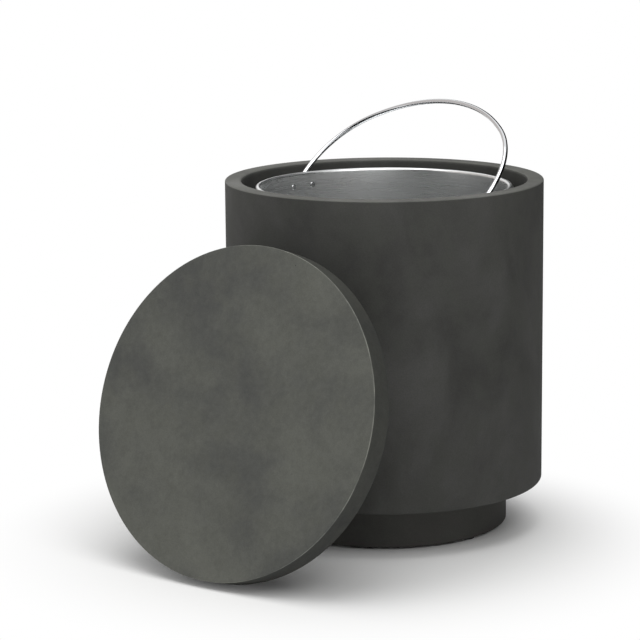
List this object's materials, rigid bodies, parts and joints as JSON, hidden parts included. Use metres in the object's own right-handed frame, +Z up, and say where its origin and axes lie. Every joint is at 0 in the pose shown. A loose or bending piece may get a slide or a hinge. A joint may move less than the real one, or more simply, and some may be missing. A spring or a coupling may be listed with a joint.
{
  "type": "cooler side table",
  "caption": "Round side table cast in dark concrete, with a lift-off top shown leaning on it and a steel ice bucket inside that has a swinging wire bail.",
  "frame": {"origin": "on the floor, on the drum's axis, in the middle of the foot glides", "axes": "+Z up along the drum's axis; the lid leans on the side at -X -Y; -Y is the side that the view looks at"},
  "size_m": [0.5493, 0.5866, 0.5296],
  "materials": {
    "drum_concrete": "matte",
    "plinth_concrete": "matte",
    "lid_concrete": "matte",
    "zinc_steel": "satin",
    "insert_brass": "satin",
    "glide_plastic": "matte",
    "bumper_rubber": "matte",
    "plug_plastic": "satin",
    "plug_foam": "matte",
    "bucket_steel": "satin",
    "ear_steel": "satin",
    "bail_chrome": "polished"
  },
  "bodies": {
    "table": {"drum_shell": "drum_concrete", "plinth_ring": "plinth_concrete", "plinth_bolts": "zinc_steel", "bolt_washers": "zinc_steel", "plinth_inserts": "insert_brass", "foot_glides": "glide_plastic"},
    "lid": {"lid_slab": "lid_concrete", "lid_bumpers": "bumper_rubber", "lid_inserts": "insert_brass", "plug_cover": "plug_plastic", "plug_core": "plug_foam", "plug_screws": "zinc_steel"},
    "bucket": {"bucket_wall": "bucket_steel", "bucket_base": "bucket_steel", "ear_right": "ear_steel", "ear_left": "ear_steel", "rivets_right": "zinc_steel", "rivets_left": "zinc_steel"},
    "bail": {"bail_handle": "bail_chrome"}
  },
  "joints": [
    {"name": "lid_lift", "type": "slide", "parent": "table", "child": "lid", "axis": [-0.3659, -0.5285, 0.766], "range_m": [0, 0.38]},
    {"name": "bucket_lift", "type": "slide", "parent": "table", "child": "bucket", "axis": [0, 0, 1], "range_m": [0, 0.38]},
    {"name": "bail_swing", "type": "hinge", "parent": "bucket", "child": "bail", "pos_m": [0, 0, 0.41795], "axis": [0.6794, -0.7337, 0], "range_deg": [-36.2, 130.4]}
  ]
}
